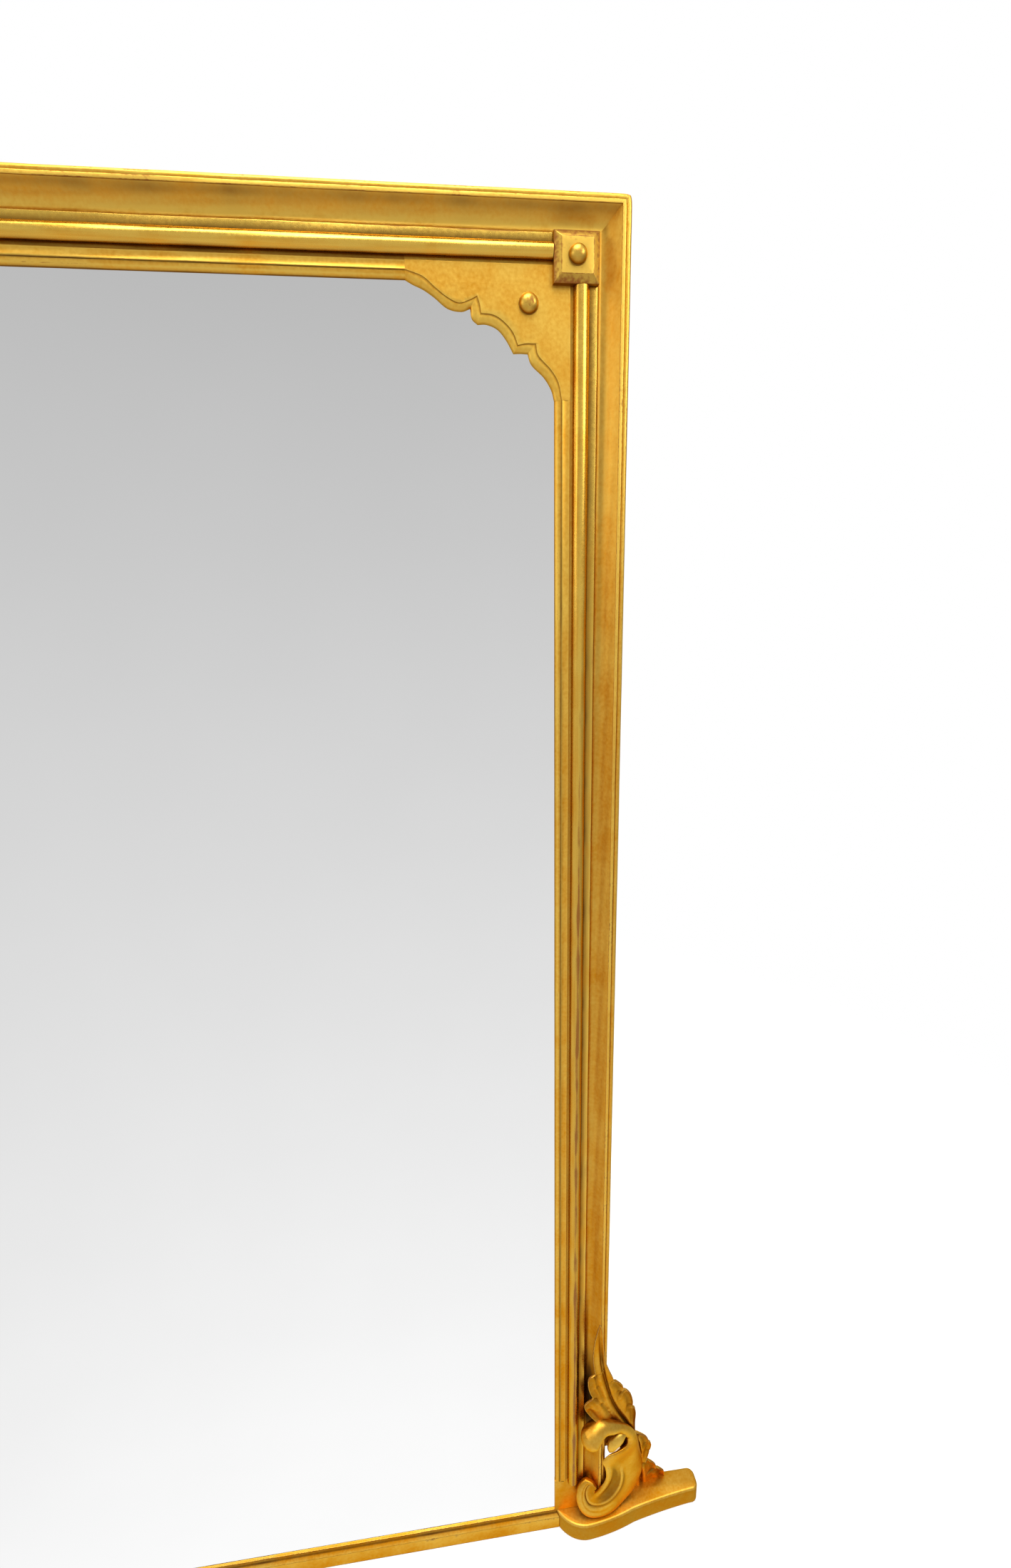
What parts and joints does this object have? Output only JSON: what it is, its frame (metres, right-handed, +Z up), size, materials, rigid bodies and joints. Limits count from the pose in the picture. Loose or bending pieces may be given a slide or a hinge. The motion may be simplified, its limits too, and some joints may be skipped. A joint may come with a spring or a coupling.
{
  "type": "overmantel mirror",
  "caption": "Gilt overmantel mirror: coved frame with reeded inner moulding, corner blocks, fretted spandrels, acanthus and scroll brackets on shaped feet, boarded back with ring hangers.",
  "frame": {"origin": "middle of the part's box from left to right and from front to back, on the shelf it stands on", "axes": "+X to the viewer's right along the shelf, the front faces -Y, +Z up"},
  "size_m": [1.556, 0.071, 1.672],
  "materials": {
    "matte_gilding": "water gilding left matt over yellow and red bole",
    "burnished_gilding": "water gilding burnished bright, rubbed on its high places",
    "silvered_glass": "polished plate glass silvered on its back",
    "pine_board": "planed pine, bare",
    "beech_pin": "turned beech, bare",
    "steel_screw": "plain steel, dulled",
    "brass_hanger": "rolled brass"
  },
  "bodies": {
    "frame": {"backboard_screws": "steel_screw", "bottom_rail": "matte_gilding", "bracket_dowels": "beech_pin", "foot_screws": "steel_screw", "glass_wedges": "pine_board", "hanger_screws": "brass_hanger", "left_acanthus_leaf": "matte_gilding", "left_backboard_1": "pine_board", "left_backboard_2": "pine_board", "left_backboard_3": "pine_board", "left_base_block": "matte_gilding", "left_corner_block": "matte_gilding", "left_corner_button": "burnished_gilding", "left_foot": "matte_gilding", "left_hanger_strap": "brass_hanger", "left_mitre_tongue": "beech_pin", "left_reed": "burnished_gilding", "left_scroll": "burnished_gilding", "left_sight_slip": "matte_gilding", "left_spandrel": "matte_gilding", "left_spandrel_boss": "burnished_gilding", "left_stile": "matte_gilding", "mirror_plate": "silvered_glass", "rail_dowels": "beech_pin", "right_acanthus_leaf": "matte_gilding", "right_backboard_1": "pine_board", "right_backboard_2": "pine_board", "right_backboard_3": "pine_board", "right_base_block": "matte_gilding", "right_corner_block": "matte_gilding", "right_corner_button": "burnished_gilding", "right_foot": "matte_gilding", "right_hanger_strap": "brass_hanger", "right_mitre_tongue": "beech_pin", "right_reed": "burnished_gilding", "right_scroll": "burnished_gilding", "right_sight_slip": "matte_gilding", "right_spandrel": "matte_gilding", "right_spandrel_boss": "burnished_gilding", "right_stile": "matte_gilding", "top_rail": "matte_gilding", "top_reed": "burnished_gilding", "top_sight_slip": "matte_gilding"},
    "left_ring": {"left_hanger_ring": "brass_hanger"},
    "right_ring": {"right_hanger_ring": "brass_hanger"}
  },
  "joints": [
    {"name": "left_ring_hinge", "type": "hinge", "parent": "frame", "child": "left_ring", "pos_m": [-0.6055, 0.0313, 1.342], "axis": [1, 0, 0], "range_deg": [0, 180]},
    {"name": "right_ring_hinge", "type": "hinge", "parent": "frame", "child": "right_ring", "pos_m": [0.6055, 0.0313, 1.342], "axis": [1, 0, 0], "range_deg": [0, 180]}
  ]
}
